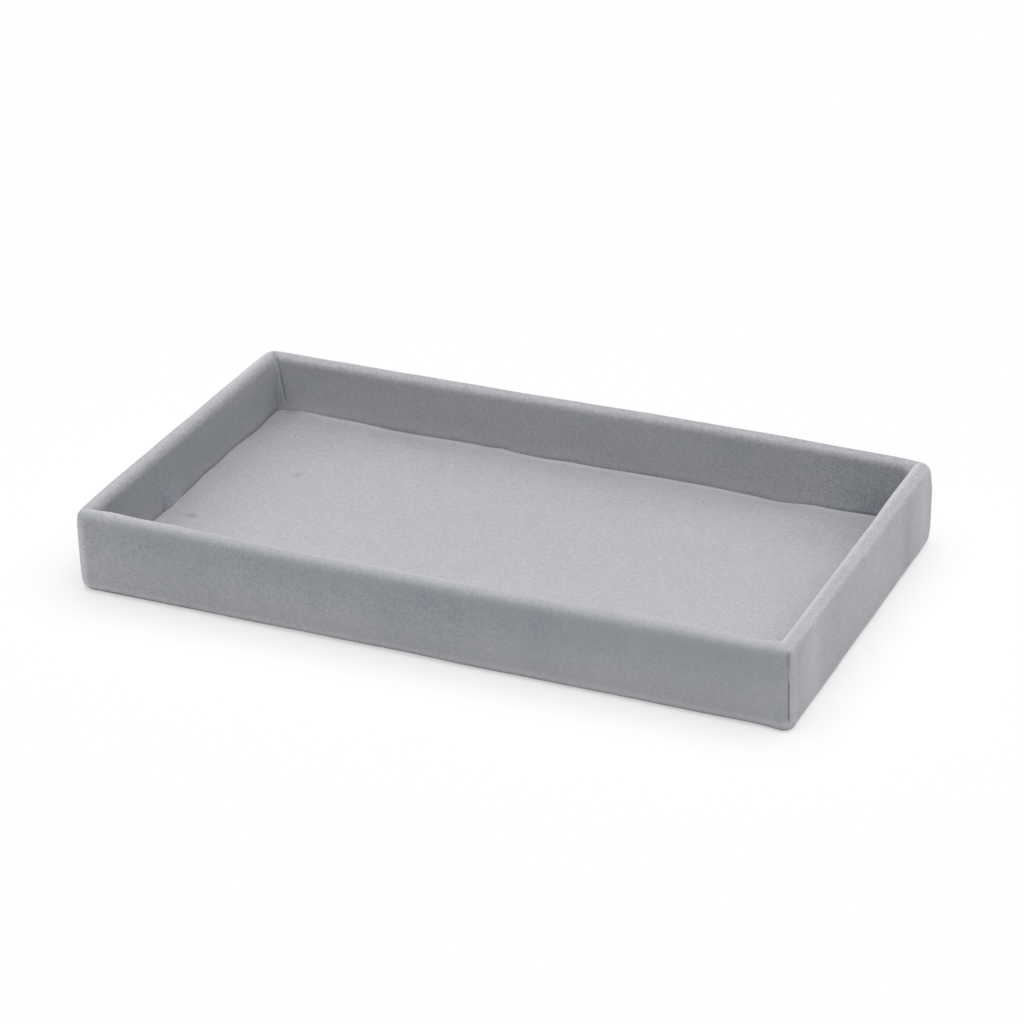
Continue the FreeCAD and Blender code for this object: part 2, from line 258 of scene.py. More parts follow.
class WallStrip:
    """A velvet strip, folded over one wall, with each face point's place on the cloth: run across
    it from the end under the base, along it from its middle, and to_end from the mitre."""

    def __init__(self, name, turn, half_along, half_across):
        # Half length of the cloth at each point of its line, to the mitres
        axis = half_along - CORNER
        past_axis = PROFILE_OUT + CORNER
        halves = axis + np.where(past_axis > 0, past_axis * math.pi / 4, past_axis)
        widest = halves.max()
        self.flat = (PROFILE_RUN[-1], 2 * widest)
        self.area = float(np.sum((halves[1:] + halves[:-1]) * np.diff(PROFILE_RUN)))

        # Places on the flat cloth
        columns = spaced(2 * widest, STRIP_END_STEPS, STRIP_STEP) - widest
        self.piece, column, row = flat_blank(name, len(columns) - 1, len(PROFILE_RUN) - 1)
        self.count = len(column)
        self.run = PROFILE_RUN[row]
        out, past, half = PROFILE_OUT[row], past_axis[row], halves[row]
        squared = axis - FAN_OUT
        nominal = np.abs(columns[column])
        reach = squared + (nominal - squared) * (half - squared) / (widest - squared)
        reach = np.where(nominal > squared, reach, nominal)
        side = np.sign(columns[column])
        self.along = side * reach
        self.to_end = half - reach
        self.left_end = side <= 0
        self.right_end = side > 0

        # The cloth over its wall, bent round the upright corners at both ends
        bent = (reach > axis) & (past > 0)
        angle = np.where(bent, (reach - axis) / np.where(bent, past, 1.0), 0.0)
        local_along = side * np.where(bent, axis + past * np.sin(angle), reach)
        local_out = half_across + np.where(bent, -CORNER + past * np.cos(angle), out)
        cos, sin = math.cos(math.radians(turn)), math.sin(math.radians(turn))
        lengthwise, outward = np.array([cos, sin, 0.0]), np.array([sin, -cos, 0.0])
        self.place = np.outer(local_along, lengthwise) + np.outer(local_out, outward)
        self.place[:, 2] = PROFILE_UP[row]
        self.into_tray = -outward - np.outer(side, lengthwise)
        put_points(self.piece, self.place)
        self.facing = vertex_values(self.piece, "normal")
        thicken(self.piece, WALL_LAYER)

        # Soft shares: clear of the mitres, up towards the rim, and each side of the wall
        self.level = self.place[:, 2]
        self.clear = smooth(self.to_end, 0.5 * MM, 9 * MM)
        self.upper = smooth(self.level, 9 * MM, 22 * MM)
        self.outside = fade(self.run, FACE_END - 2 * MM, CROWN_RUN + 1.2 * MM)
        self.inside = smooth(self.run, INSIDE_START - 2.5 * MM, INSIDE_START + 1 * MM)
        self.rim = 1 - self.outside - self.inside
        self.from_rim = self.run - RIM_MIDDLE

        # Handwork and painted light, added up piece by piece
        self.move = np.zeros_like(self.place)
        self.nap = np.zeros(self.count)
        self.coarse = np.ones(self.count)
        self.cool = np.zeros(self.count)

    def push(self, amount):
        """Move face points out along the cloth's own normal."""
        self.move += self.facing * amount[:, None]

    def end_band(self, here, near, far):
        """The outside near one end, whole up to near and gone at far, in mm."""
        return self.outside * here * fade(self.to_end, near * MM, far * MM)

    def finish(self):
        """Put the handwork on the face; the back keeps its place and takes the same pile and
        painted light.
        """
        place = points_of(self.piece)
        place[:self.count] = self.place + self.move
        place[:, 2] = np.maximum(place[:, 2], GROUND_GAP)
        put_points(self.piece, place)
        lay_pile_and_light(self.piece, nap=np.tile(self.nap, 2), coarse=np.tile(self.coarse, 2),
                   cool=np.tile(self.cool, 2))
        smooth_faces(self.piece)


STRIPS = {
    "front": WallStrip("front_wall_velvet", 0, HALF_LENGTH, HALF_WIDTH),
    "right": WallStrip("right_wall_velvet", 90, HALF_WIDTH, HALF_LENGTH),
    "rear": WallStrip("rear_wall_velvet", 180, HALF_LENGTH, HALF_WIDTH),
    "left": WallStrip("left_wall_velvet", 270, HALF_WIDTH, HALF_LENGTH),
}

# Where the floor pad's edge stands up or is pressed down along the rear and left walls:
# middle and half width of each bump along the wall, and its height, in mm
REAR_EDGE = ((-99.5, 2.5, -0.3), (-91, 10, 1.1), (-74, 10, 0.75), (-38, 10, 0.3), (-26, 2.5, 0.5),
             (-13, 7, -0.15), (-4, 4, 0.2), (24, 18, 0.3), (40, 7, 0.2), (60.5, 6, -0.5),
             (71, 4, 0.25), (92, 8, 0.4))
LEFT_EDGE = ((0, 60, -0.25), (-12, 11, -0.5), (8, 4, 0.35), (25, 7, 0.5), (42, 5, -0.35),
             (54, 4, 0.4))

# How the glued-up walls settled at each corner, by its side and end: shift of top and foot, in mm
SETTLED = {
    (-1, -1): ((-0.10, -0.15, -0.20), (0.45, 0.80, 0.0)),
    (1, -1): ((-0.15, -0.15, -0.20), (0.60, 0.25, 0.0)),
    (1, 1): ((0.0, 0.05, 0.10), (0.20, 0.0, 0.0)),
    (-1, 1): ((-0.10, -0.15, -0.20), (0.0, 0.0, 0.0)),
}

# Which corner each end of a strip meets: left end, right end
STRIP_CORNERS = {
    "front": ("front_left", "front_right"),
    "right": ("front_right", "rear_right"),
    "rear": ("rear_right", "rear_left"),
    "left": ("rear_left", "front_left"),
}

# Handwork at each corner, in mm out from the nominal cloth: crown of the rim, belly of the face,
# foot, depth and half width of the joint between strips, and fill of the corner inside
CORNER_WORK = {
    "front_right": dict(crown=-0.15, belly=0.05, foot=0.47, joint=0.60, wide=0.50, fill=0.4),
    "rear_right": dict(crown=-0.50, belly=0.50, foot=0.20, joint=0.10, wide=0.25, fill=0.75),
    "rear_left": dict(crown=-0.30, belly=0.15, foot=0.00, joint=0.12, wide=0.25, fill=0.4),
    "front_left": dict(crown=-0.40, belly=0.10, foot=-0.25, joint=0.08, wide=0.25, fill=0.4),
}

# The crown, belly and foot of a corner fade out over this length
CORNER_REACH = 5.0 * MM

# The foot hangs a little below the boards, and its rounded edge is this wide
FOOT_SAG = 0.33 * MM
FOOT_EDGE = 1.7 * MM

# Painted highlight where the velvet bends over each rim, for its sheen seen edge-on, with a little
# painted shade: bands about the middle of the rim
RIM_PAINTED_LIGHT = {
    "front": ((1.5, 0.8, 0.50),),
    "right": ((-2.0, 0.8, 0.08), (2.1, 1.45, 0.54)),
    "rear": ((-2.0, 0.8, 0.21), (0, 0.8, -0.04), (1.8, 0.9, 0.08), (3.6, 0.8, 0.06)),
    "left": ((-0.6, 1.1, 0.13), (2.2, 0.9, -0.05), (3.6, 0.8, 0.06)),
}

# Painted light where the velvet bends in at each foot, lit from the floor below, and painted shade
# in the crevice under it: bands about the start of the face
FOOT_PAINTED_LIGHT = {
    "front": ((-0.5, 0.9, 0.22), (-2.4, 0.7, -0.30)),
    "right": ((-1.6, 0.5, -0.10),),
    "rear": ((-0.5, 0.9, 0.12), (-2.6, 0.6, -0.15)),
    "left": ((-0.5, 0.9, 0.12), (-2.6, 0.6, -0.15)),
}


def settle(strip):
    """Shift of a strip where the four corners settled; the foot moves on the outside only."""
    move = np.zeros_like(strip.place)
    x, y, z = strip.place.T
    height = np.clip(z / HEIGHT, 0.0, 1.0)
    depth = np.where(strip.run < RIM_MIDDLE, 1 - height, 0.0)
    for (side, end), (top, foot) in SETTLED.items():
        share = (1 + side * x / HALF_LENGTH) * (1 + end * y / HALF_WIDTH) / 4
        move += (np.outer(share * height, top) + np.outer(share * depth, foot)) * MM
    return move


def work_corner(strip, here, work):
    """Round, part and fill the velvet where two strips meet."""
    near = hump(strip.to_end, 0.0, CORNER_REACH) * here
    face = smooth(strip.run, FACE_START - 1 * MM, FACE_START + 3 * MM)
    face *= fade(strip.run, FACE_END - 6 * MM, FACE_END)
    strip.push(work["crown"] * MM * near * hump(strip.run, CROWN_RUN, 2.3 * MM))
    strip.push(work["belly"] * MM * near * face)
    strip.push(work["foot"] * MM * near * hump(strip.run, FOOT_RUN, 2.2 * MM))

    # The joint opens along the face, wider towards the rim, and nearly closes once on the way
    parted = smooth(strip.run, FACE_START - 0.5 * MM, FACE_START + 1.5 * MM)
    parted *= fade(strip.run, FACE_END - 0.8 * MM, FACE_END + 1.6 * MM)
    parted *= 1 - 0.7 * hump(strip.run, FACE_RUN + 4 * MM, 2.2 * MM)
    opening = 0.45 + 0.55 * smooth(strip.run, FACE_RUN - 1 * MM, FACE_END - 3 * MM)
    lips = hump(strip.to_end, 0.0, work["wide"] * MM * opening) * parted * here
    strip.push(-work["joint"] * MM * lips)
    strip.nap -= 0.50 * work["joint"] * lips

    # The velvet bridges the inside of the corner above the floor pad
    fill = work["fill"] * MM
    fill_start = INSIDE_START - 2.5 * fill
    filled = hump(strip.to_end, 0.0, 3 * fill) * smooth(strip.level, 8 * MM, 12 * MM)
    filled *= smooth(strip.run, fill_start, fill_start + 3 * MM)
    strip.move += strip.into_tray * (fill * filled * here)[:, None]


def work_strip(side_name, strip, seed):
    """Handwork that all four strips share: settled corners, a foot that hangs, uneven cloth, worked
    corners, and painted highlights and shade where the velvet bends over the rim and in at the
    foot."""
    strip.move += settle(strip)
    sagging = smooth(strip.run, TURN_UNDER - 6 * MM, TURN_UNDER - 3 * MM)
    sagging *= fade(strip.run, FOOT_RUN, FACE_START + 3 * MM)
    strip.move[:, 2] -= FOOT_SAG * sagging
    uneven = 0.07 * drift(strip.along, strip.run, 26 * MM, 11 + seed)
    uneven += 0.02 * drift(strip.along, strip.run, 8 * MM, 21 + seed)
    strip.push(uneven * MM * strip.clear)
    left_corner, right_corner = STRIP_CORNERS[side_name]
    work_corner(strip, strip.left_end, CORNER_WORK[left_corner])
    work_corner(strip, strip.right_end, CORNER_WORK[right_corner])
    strip.nap += 0.008 * drift(strip.along, strip.run, 18 * MM, 31 + seed)
    strip.nap += 0.008 * drift(strip.along, strip.run * 0.25, 6 * MM, 41 + seed)
    strip.nap += bands(strip.from_rim, *RIM_PAINTED_LIGHT[side_name])
    strip.nap += bands(strip.run - FACE_START, *FOOT_PAINTED_LIGHT[side_name])


def work_front(strip):
    """The front wall, seen from outside, with the upper side of its rim."""
    x = strip.place[:, 0]

    # The rim dips between the corners, and stands up on its inner side near the left one
    dip = smooth(x, -78 * MM, -42 * MM) * (1 - 0.4 * smooth(x, 25 * MM, 75 * MM))
    strip.move[:, 2] -= 0.70 * MM * dip * strip.upper * strip.clear
    raised = hump(strip.to_end, 7 * MM, 5 * MM) * bands(strip.from_rim, (1.3, 1.8, 1.0))
    strip.move[:, 2] += 0.35 * MM * raised * strip.left_end

    # The foot draws in to the left
    drawn_in = hump(strip.run, FOOT_RUN, FOOT_EDGE) * strip.clear * fade(x, -10 * MM, 30 * MM)
    strip.push(-0.25 * MM * drawn_in)

    # Painted light on the face: lighter low down where the floor lights it, darker towards the rim,
    # a painted highlight at the left corner, and bands of tone along it
    strip.nap += strip.outside * (
        0.01 - 0.13 * smooth(strip.level, 4 * MM, 22 * MM)
        + bands(x, (-104, 14, 0.07), (-20, 14, 0.02), (0, 24, -0.05), (36, 8, -0.04),
                (80, 14, -0.02)))

    # Painted highlight on the rim: its top and its outer half, and less of the rim's painted
    # highlight on its inner edge on the right
    strip.nap += bands(strip.from_rim, (0.5, 1.2, 1.0)) * (
        0.12 * fade(x, -90 * MM, -50 * MM)
        + bands(x, (-102, 12, 0.08), (-15, 28, 0.07), (98, 15, 0.05)))
    strip.nap += bands(strip.from_rim, (-1.2, 1.0, 1.0)) * bands(x, (-82, 14, 0.05), (98, 15, 0.05))
    strip.nap -= 0.10 * bands(strip.from_rim, (1.5, 0.8, 1.0)) * (
        smooth(x, 10 * MM, 50 * MM) - smooth(x, 80 * MM, 100 * MM))

    # Painted highlight down the rounded left corner, and darker low at the right one
    strip.nap += 0.33 * strip.end_band(strip.left_end, 1.2, 3.4)
    low_down = hump(strip.level, 5 * MM, 4 * MM)
    strip.nap -= 0.10 * strip.end_band(strip.right_end, 1.5, 6.0) * low_down

    strip.coarse -= 0.22 * smooth(x, -100 * MM, -75 * MM) + 0.25 * smooth(x, -25 * MM, 60 * MM)
    # Painted tint of the light: a little bluer inside, where it is in shade
    strip.cool += 0.5 * strip.inside


def work_right(strip):
    """The right wall, seen from outside."""
    y = strip.place[:, 1]

    # The foot stands out squarer, and the rim swells inwards to the rear
    strip.push(0.30 * MM * hump(strip.run, FOOT_RUN, FOOT_EDGE) * strip.clear)
    strip.push(0.45 * MM * smooth(y, 15 * MM, 40 * MM) * bands(strip.from_rim, (1.6, 1.8, 1.0)))

    # Pile of the face, in upright bands, and paler at the front corner
    strip.nap += strip.outside * (
        bands(y, (-55.5, 2.5, -0.05), (-44, 5, 0.12), (-24, 10, -0.05), (38, 5, -0.12),
              (55, 5, 0.12))
        - 0.03)
    strip.nap += 0.13 * strip.end_band(strip.left_end, 2.0, 3.4)

    strip.coarse -= 0.25 * fade(y, -50 * MM, -30 * MM)
    # Painted tint of the light: bluer inside in shade, warmer on the lit outside
    strip.cool += 1.1 * strip.inside - 0.6


def pinch_rim(strip, here):
    """Draw the rim in where the rear and left strips meet."""
    pinch = here * hump(strip.to_end, 0.0, 0.7 * MM)
    pinch *= hump(strip.run, INSIDE_START - 1.5 * MM, 2.5 * MM)
    strip.move[:, 2] -= 0.30 * MM * pinch
    strip.nap -= 0.20 * pinch


def brush_and_shade_outside(strip):
    """Pile of the rear and left faces, smoother than inside, with painted light: lighter low down
    where the floor lights it, darker towards the rim.
    """
    strip.nap += strip.outside * (0.02 - 0.10 * smooth(strip.level, 4 * MM, 22 * MM))
    strip.coarse -= 0.3 * strip.outside


def work_rear(strip):
    """The rear wall, seen from inside; its strip runs from the right corner to the left one."""
    x = strip.place[:, 0]

    # The rim bows up right of the middle and dips to the left
    bow = bands(x, (38, 34, 0.45), (-68, 42, -0.22))
    strip.move[:, 2] += bow * MM * strip.upper * strip.clear

    # Pulled fold inside, down from the left corner
    fold_line = (99.6 - 0.18 * (22.8 - strip.level / MM)) * MM
    from_fold = strip.along - fold_line
    on_fold = strip.inside * smooth(strip.level, 8.8 * MM, 11.5 * MM)
    strip.push(MM * on_fold * bands(from_fold, (0.65, 0.42, 0.30), (0.0, 0.30, -0.60)))
    # Painted highlight on the fold's ridge, and darker in its crease, partly where the parted pile
    # shows its ground and partly painted shade
    strip.nap += on_fold * bands(from_fold, (0.7, 0.35, 0.08), (0.0, 0.36, -0.24))
    pinch_rim(strip, strip.right_end)

    # Painted light inside: the whole inside lifted against its shade, painted shade at the right
    # end where the right wall shades it, most of it low down, darker in one upright band, and a
    # painted highlight on the rim at the left
    brush_and_shade_outside(strip)
    strip.nap += strip.inside * (
        0.13 + bands(x, (98, 14, -0.05))
        + bands(x, (92, 12, -0.16)) * fade(strip.level, 10 * MM, 18 * MM)
        + bands(x, (47, 6, -0.07)) * smooth(strip.level, 12 * MM, 18 * MM))
    strip.nap += 0.16 * fade(x, -60 * MM, 0.0) * bands(strip.from_rim, (-1.2, 1.2, 1.0))

    # Paler inside the left corner
    strip.nap += 0.13 * strip.inside * strip.right_end * hump(strip.to_end, 0.0, 1.0 * MM)

    # Painted light above the floor pad, where the pale pad lights the wall, less of it at the right
    # end, and a thin line of painted shade where the pad meets it, lighter in places
    above_pad = strip.level - pad_high.z - bands(x, *REAR_EDGE) * MM
    strip.nap += strip.inside * hump(above_pad, 0.3 * MM, 3.0 * MM) * (
        0.10 + bands(x, (-90, 12, 0.08), (96, 12, -0.10)))
    strip.nap += strip.inside * hump(above_pad, 0.0, 0.55 * MM) * (
        bands(x, (-95, 7, 0.30), (-62, 12, -0.06), (-22, 5, 0.18), (5, 8, 0.13), (62, 7, 0.10),
              (84, 10, -0.22))
        + 0.05 * drift(x, x * 0.0, 11 * MM, 45) - 0.09)

    strip.coarse += 0.6 * smooth(x, 40 * MM, 95 * MM) * strip.inside
    # Painted tint of the light: bluer inside in shade, warmer on the lit rim
    strip.cool += strip.inside - 0.7 * strip.rim


# Pucker at the foot of the left wall's inside: places along the strip
PUCKER_CREASE = 18.2 * MM
PUCKER_BULGE = 14.8 * MM


def work_left(strip):
    """The left wall, seen from inside; its strip runs from the rear corner to the front one."""
    y = strip.place[:, 1]
    pinch_rim(strip, strip.left_end)

    # The pucker: an upright crease, and the cloth bulged beside it, with painted shade in the
    # crease and over the bulge to dull its lit top
    crease = strip.inside * fade(strip.level, 9 * MM, 13 * MM)
    crease *= hump(strip.along, PUCKER_CREASE, 0.55 * MM)
    bulge = strip.inside * fade(strip.level, 6 * MM, 14 * MM)
    bulge_width = np.where(strip.along > PUCKER_BULGE, 2.6 * MM, 6.0 * MM)
    bulge *= hump(strip.along, PUCKER_BULGE, bulge_width)
    strip.push((1.2 * bulge - 0.25 * crease) * MM)
    strip.nap -= 0.10 * crease + 0.06 * bulge

    # Painted highlight on the rim's outer half to the rear, a little darker on its inner half, and
    # pile inside
    brush_and_shade_outside(strip)
    strip.nap += smooth(y, 15 * MM, 45 * MM) * bands(
        strip.from_rim, (-0.8, 1.1, 0.20), (2.4, 1.0, -0.06))
    strip.nap += strip.inside * (
        0.08 * smooth(y, 5 * MM, 40 * MM) * smooth(strip.level, 17 * MM, 22 * MM) - 0.12)

    # Painted highlight down the rounded front corner, and paler inside the rear corner
    strip.nap += 0.20 * strip.end_band(strip.right_end, 1.0, 2.4)
    strip.nap += 0.12 * strip.inside * strip.left_end * hump(strip.to_end, 0.0, 2.5 * MM)

    # Painted light above the floor pad, where the pale pad lights the wall, and a thin line of
    # painted shade where the pad meets it, stronger to the rear
    above_pad = strip.level - pad_high.z - bands(y, *LEFT_EDGE) * MM
    contact_shade = 0.08 + 0.08 * smooth(y, 20 * MM, 45 * MM)
    strip.nap += strip.inside * (
        0.10 * hump(above_pad, 0.3 * MM, 3.0 * MM) - contact_shade * hump(above_pad, 0.0, 0.6 * MM))

    # Painted tint of the light: warmer on the lit rim
    strip.cool -= 0.5 * strip.rim


for seed, (side_name, strip) in enumerate(STRIPS.items()):
    work_strip(side_name, strip, seed)

work_front(STRIPS["front"])
work_right(STRIPS["right"])
work_rear(STRIPS["rear"])
work_left(STRIPS["left"])

for strip in STRIPS.values():
    strip.finish()


# Floor pad velvet

# Roundings of the pad's edge and corners, swell of its sides, width turned under its card, and how
# far at most its top is pressed down
PAD_EDGE = 0.7 * MM
PAD_CORNER = 1.2 * MM
PAD_BULGE = 0.2 * MM
PAD_FLAP = 9.0 * MM
PAD_DEEPEST = 0.6 * MM

# Spacing of its lines, and points round its edge
PAD_END_STEPS = ((5 * MM, 0.36 * MM),)
PAD_STEP = 0.85 * MM
PAD_ROLL_POINTS = 7


def rounded_corners(place, half_x, half_y, radius):
    """Draw the square corners of a flat sheet in to a radius."""
    inside_x, inside_y = half_x - radius, half_y - radius
    dx, dy = np.abs(place[:, 0]) - inside_x, np.abs(place[:, 1]) - inside_y
    corner = (dx > 0) & (dy > 0)
    far, size = np.maximum(dx, dy), np.hypot(dx, dy)
    shrink = np.where(corner, far / np.where(corner, size, 1.0), 1.0)
    new = place.copy()
    new[:, 0] = np.where(corner, np.sign(place[:, 0]) * (inside_x + dx * shrink), place[:, 0])
    new[:, 1] = np.where(corner, np.sign(place[:, 1]) * (inside_y + dy * shrink), place[:, 1])
    return new


def flat_sheet(name, half_x, half_y, level, radius, end_steps, step):
    """A flat sheet with rounded corners at one level."""
    xs = spaced(2 * half_x, end_steps, step) - half_x
    ys = spaced(2 * half_y, end_steps, step) - half_y
    sheet, column, row = flat_blank(name, len(xs) - 1, len(ys) - 1)
    place = np.stack([xs[column], ys[row], np.full(len(column), level)], 1)
    put_points(sheet, rounded_corners(place, half_x, half_y, radius))
    return sheet


def turn_edge(sheet, half_x, half_y, steps):
    """Extrude the sheet's edge on by steps out and down, as cloth turned over a card."""
    pick(sheet)
    bpy.ops.object.mode_set(mode="EDIT")
    bpy.ops.mesh.select_mode(type="EDGE")
    bpy.ops.mesh.select_all(action="DESELECT")
    bpy.ops.mesh.select_non_manifold(use_wire=False, use_boundary=True, use_multi_face=False,
                                     use_non_contiguous=False, use_verts=False)
    for out, down in steps:
        bpy.ops.mesh.extrude_region_move(TRANSFORM_OT_translate={"value": (0.0, 0.0, -down)})
        wide, deep = half_x + out, half_y + out
        bpy.ops.transform.resize(value=(wide / half_x, deep / half_y, 1.0),
                                 center_override=(0.0, 0.0, 0.0))
        half_x, half_y = wide, deep
    bpy.ops.mesh.select_all(action="SELECT")
    bpy.ops.mesh.normals_make_consistent(inside=False)
    bpy.ops.object.mode_set(mode="OBJECT")


def wrap_steps():
    """Steps out and down from the pad's top: over its edge, down its side and in under the card."""
    roll = np.radians(np.linspace(0.0, 90.0, PAD_ROLL_POINTS))
    under = roll[::2]
    side = pad_high.z - pad_low.z - 2 * PAD_EDGE
    return np.concatenate([
        np.stack([np.diff(np.sin(roll)) * PAD_EDGE, -np.diff(np.cos(roll)) * PAD_EDGE], 1),
        np.tile([0.0, side / 2], (2, 1)),
        np.stack([np.diff(np.cos(under)) * PAD_EDGE, np.diff(np.sin(under)) * PAD_EDGE], 1),
        np.tile([-(PAD_FLAP - PAD_EDGE) / 2, 0.0], (2, 1)),
    ])


pad_top = pad_high.z
top_x, top_y = pad_high.x - PAD_EDGE, pad_high.y - PAD_EDGE
pad_velvet = flat_sheet("floor_pad_velvet", top_x, top_y, pad_top, PAD_CORNER - PAD_EDGE,
                        PAD_END_STEPS, PAD_STEP)
turn_edge(pad_velvet, top_x, top_y, wrap_steps())
thicken(pad_velvet, PAD_LAYER)

pad_place = points_of(pad_velvet)
pad_x, pad_y, pad_z = pad_place.T.copy()
from_rear, from_left = pad_high.y - pad_y, pad_x - pad_low.x
from_front, from_right = pad_y - pad_low.y, pad_high.x - pad_x

# Wavy edges along the four walls, and a floor that isn't quite flat
lift = bands(pad_x, *REAR_EDGE) * MM * hump(from_rear, 0.0, 5.5 * MM)
lift += bands(pad_y, *LEFT_EDGE) * MM * hump(from_left, 0.0, 5.0 * MM) * (
    1 - hump(from_rear, 0.0, 6 * MM))
lift += 0.25 * MM * drift(pad_x, pad_y, 16 * MM, 51) * (
    hump(from_front, 0.0, 5 * MM) + hump(from_right, 0.0, 5 * MM))
lift += 0.10 * MM * drift(pad_x, pad_y, 45 * MM, 52)

# Two small dents near the left wall
dented = bands(pad_x, (-74.5, 1.0, 1.0)) * bands(pad_y, (17.3, 1.3, 1.0))
dented += bands(pad_x, (-90.6, 1.6, 1.0)) * bands(pad_y, (-18.7, 1.0, 1.0))
lift -= 0.28 * MM * dented

# Only the top moves up and down, and the sides swell to touch the walls
on_top = smooth(pad_z, pad_low.z + 0.6 * MM, pad_top - 0.9 * MM)
pad_place[:, 2] += np.maximum(lift, -PAD_DEEPEST) * on_top
for axis, half in ((0, pad_high.x), (1, pad_high.y)):
    at_edge = smooth(np.abs(pad_place[:, axis]), half - 0.6 * MM, half - 0.05 * MM)
    pad_place[:, axis] += np.sign(pad_place[:, axis]) * PAD_BULGE * at_edge
put_points(pad_velvet, pad_place)

# Pile of the floor in random tone, with painted light: lighter to the front, painted shade along
# the rear, left and right walls where they shade it, and paler right at the left edge
pad_nap = 0.008 * drift(pad_x, pad_y, 30 * MM, 53) + 0.008 * drift(pad_x, pad_y, 9 * MM, 54)
pad_nap += 0.06 * fade(pad_y, -45 * MM, 35 * MM) + 0.03
pad_nap += bands(from_rear, (3.5, 3, 0.05), (12, 13, -0.105))
pad_nap += bands(from_left, (0, 4, 0.10), (0, 22, -0.17), (13, 8, -0.035))
pad_nap += bands(from_right, (0, 22, -0.07))

# Painted highlight where it bends down at the rounded edge by the rear wall
pad_nap += hump(from_rear, 1.2 * MM, 1.4 * MM) * (
    0.23 + bands(pad_x, (-95, 4, -0.24), (-26, 8, -0.08), (62, 8, -0.08)))

# Painted shade in the rear right corner, where the right wall shades the floor, and patches along
# the rear wall, the last of them painted shade in the rear left corner: middle and half width of
# these along the wall, the same in from it, and amount
pad_nap += bands(from_right, (14, 14, -0.07)) * bands(from_rear, (14, 16, 1.0))
for along, width, inward, depth, amount in (
        (-58, 14, 5, 5, -0.05),
        (-8, 12, 1.5, 1.2, 0.10),
        (-88, 9, 10, 8, 0.06),
        (-94.5, 3, 0, 2.2, -0.10)):
    pad_nap += bands(pad_x, (along, width, amount)) * bands(from_rear, (inward, depth, 1.0))
pad_nap -= 0.25 * dented
lay_pile_and_light(pad_velvet, nap=pad_nap, coarse=np.ones_like(pad_nap))
smooth_faces(pad_velvet)


# Liner under the tray

LINER_CORNER = 0.5 * MM
LINER_END_STEPS = ((16 * MM, 0.5 * MM),)
LINER_STEP = 2.0 * MM
LINER_PAST_VELVET = 0.5 * MM

liner = flat_sheet("underside_liner", liner_high.x, liner_high.y, liner_low.z, LINER_CORNER,
                   LINER_END_STEPS, LINER_STEP)

# It steps up to the base board past the ends of the turned-under velvet
liner_place = points_of(liner)
step_x = HALF_LENGTH - TURN_UNDER - LINER_PAST_VELVET
step_y = HALF_WIDTH - TURN_UNDER - LINER_PAST_VELVET
past_velvet = np.minimum(step_x - np.abs(liner_place[:, 0]), step_y - np.abs(liner_place[:, 1]))
liner_place[:, 2] += CLOTH * smooth(past_velvet, -0.1 * MM, 1.3 * MM)
put_points(liner, liner_place)
turn_over(liner)
thicken(liner, LINER_LAYER)
liner_points = len(liner.data.vertices)
lay_pile_and_light(liner, nap=np.zeros(liner_points), coarse=np.ones(liner_points))
smooth_faces(liner)


# Materials

# Sockets of a colour mix node
MIX_SHARE, MIX_FIRST, MIX_SECOND, MIX_RESULT = 0, 6, 7, 2

# Noise scales of the pile, of pressed fibre and of pin wire, in waves per metre
GRAIN_SCALE = 1950.0
TUFT_SCALE = 700.0
CLOUD_SCALE = 95.0
FIBRE_CLOUD_SCALE = 60.0
DRAW_MARK_SCALE = 1800.0

# What a full painted shade tint multiplies the pile's colour by, leaning it to blue
SHADE_TINT_CAST = (0.965, 0.992, 0.992, 1.0)


def add_node(tree, kind, **values):
    node = tree.nodes.new(kind)
    for name, value in values.items():
        setattr(node, name, value)
    return node


def feed(tree, socket, value):
    """Link an output to a socket, or set the socket to a plain value."""
    if isinstance(value, bpy.types.NodeSocket):
        tree.links.new(value, socket)
    else:
        socket.default_value = value


def feed_all(tree, node, values):
    for name, value in values.items():
        feed(tree, node.inputs[name], value)


def noise(tree, place, scale, detail, roughness):
    node = add_node(tree, "ShaderNodeTexNoise")
    feed_all(tree, node, {"Vector": place, "Scale": scale, "Detail": detail,
                          "Roughness": roughness})
    return node.outputs[0]


def math_node(tree, operation, *values):
    node = add_node(tree, "ShaderNodeMath", operation=operation)
    for socket, value in zip(node.inputs, values):
        feed(tree, socket, value)
    return node.outputs[0]


def mix_colours(tree, share, first, second, **values):
    node = add_node(tree, "ShaderNodeMix", data_type="RGBA", **values)
    for socket, value in ((MIX_SHARE, share), (MIX_FIRST, first), (MIX_SECOND, second)):
        feed(tree, node.inputs[socket], value)
    return node.outputs[MIX_RESULT]


def about_zero(tree, value, amount):
    """A noise of 0 to 1 as a swing of so much about 0."""
    centred = math_node(tree, "SUBTRACT", value, 0.5)
    return math_node(tree, "MULTIPLY", centred, amount)


def new_group(name, inputs, outputs):
    """A node group with named sockets: the group, what comes in and what goes out."""
    group = bpy.data.node_groups.new(name, "ShaderNodeTree")
    for direction, sockets in (("INPUT", inputs), ("OUTPUT", outputs)):
        for socket, kind in sockets.items():
            group.interface.new_socket(socket, in_out=direction, socket_type="NodeSocket" + kind)
    inlet, outlet = add_node(group, "NodeGroupInput"), add_node(group, "NodeGroupOutput")
    return group, inlet.outputs, outlet


